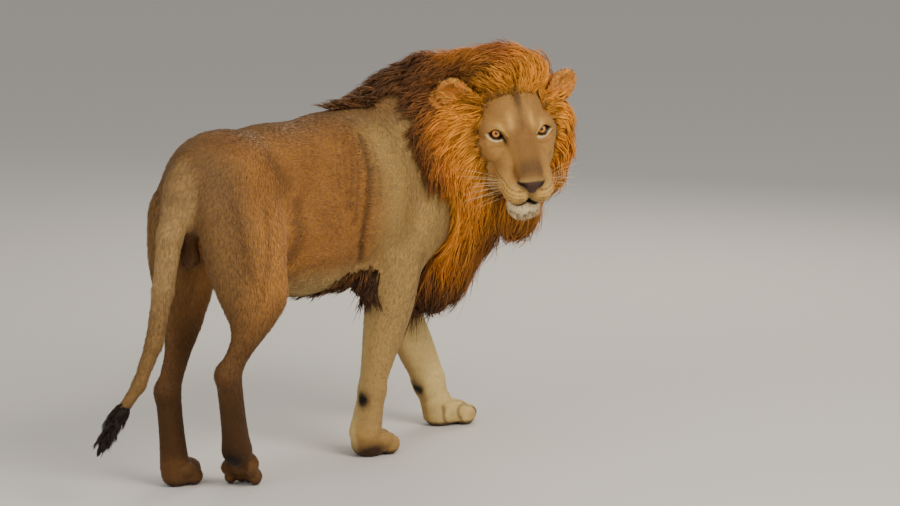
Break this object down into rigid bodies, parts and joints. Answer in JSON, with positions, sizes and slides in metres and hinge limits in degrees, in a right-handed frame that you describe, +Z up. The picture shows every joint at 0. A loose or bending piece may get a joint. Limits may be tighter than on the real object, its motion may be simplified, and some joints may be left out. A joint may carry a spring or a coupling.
{
  "type": "male lion, life-size still model",
  "caption": "Male lion standing in mid-stride with its head turned back over its right side, full mane, hanging tail and flat soles that rest on the floor.",
  "frame": {"origin": "middle of the whole animal's bounding box, on the floor under its soles", "axes": "+Z up, the animal walks towards -Y, its left side is +X"},
  "size_m": [0.7354, 1.7428, 1.2591],
  "materials": {
    "short_coat": "short tawny fur lying flat, paler inside the legs and on the belly, matt",
    "mane": "long hair in locks, golden round the face, rusty to dark brown on neck and chest",
    "tail_tuft": "near-black long hair",
    "eye": "amber iris with a round black pupil, wet and glossy",
    "bare_skin": "dark nose leather, eye rims, lips and pads, slightly moist",
    "whisker": "stiff pale hairs"
  },
  "bodies": {
    "root": {"chest_mane": "mane", "crown_mane": "mane", "ear_left": "short_coat", "ear_right": "short_coat", "eye_left": "eye", "eye_right": "eye", "fore_left_forearm": "short_coat", "fore_left_paw": "short_coat", "fore_right_forearm": "short_coat", "fore_right_paw": "short_coat", "head": "short_coat", "hind_left_paw": "short_coat", "hind_left_shank": "short_coat", "hind_left_thigh": "short_coat", "hind_right_paw": "short_coat", "hind_right_shank": "short_coat", "hind_right_thigh": "short_coat", "neck_mane": "mane", "scrotum": "short_coat", "tail_lower": "short_coat", "tail_middle": "short_coat", "tail_tuft": "tail_tuft", "tail_upper": "short_coat", "trunk": "short_coat"}
  },
  "joints": []
}
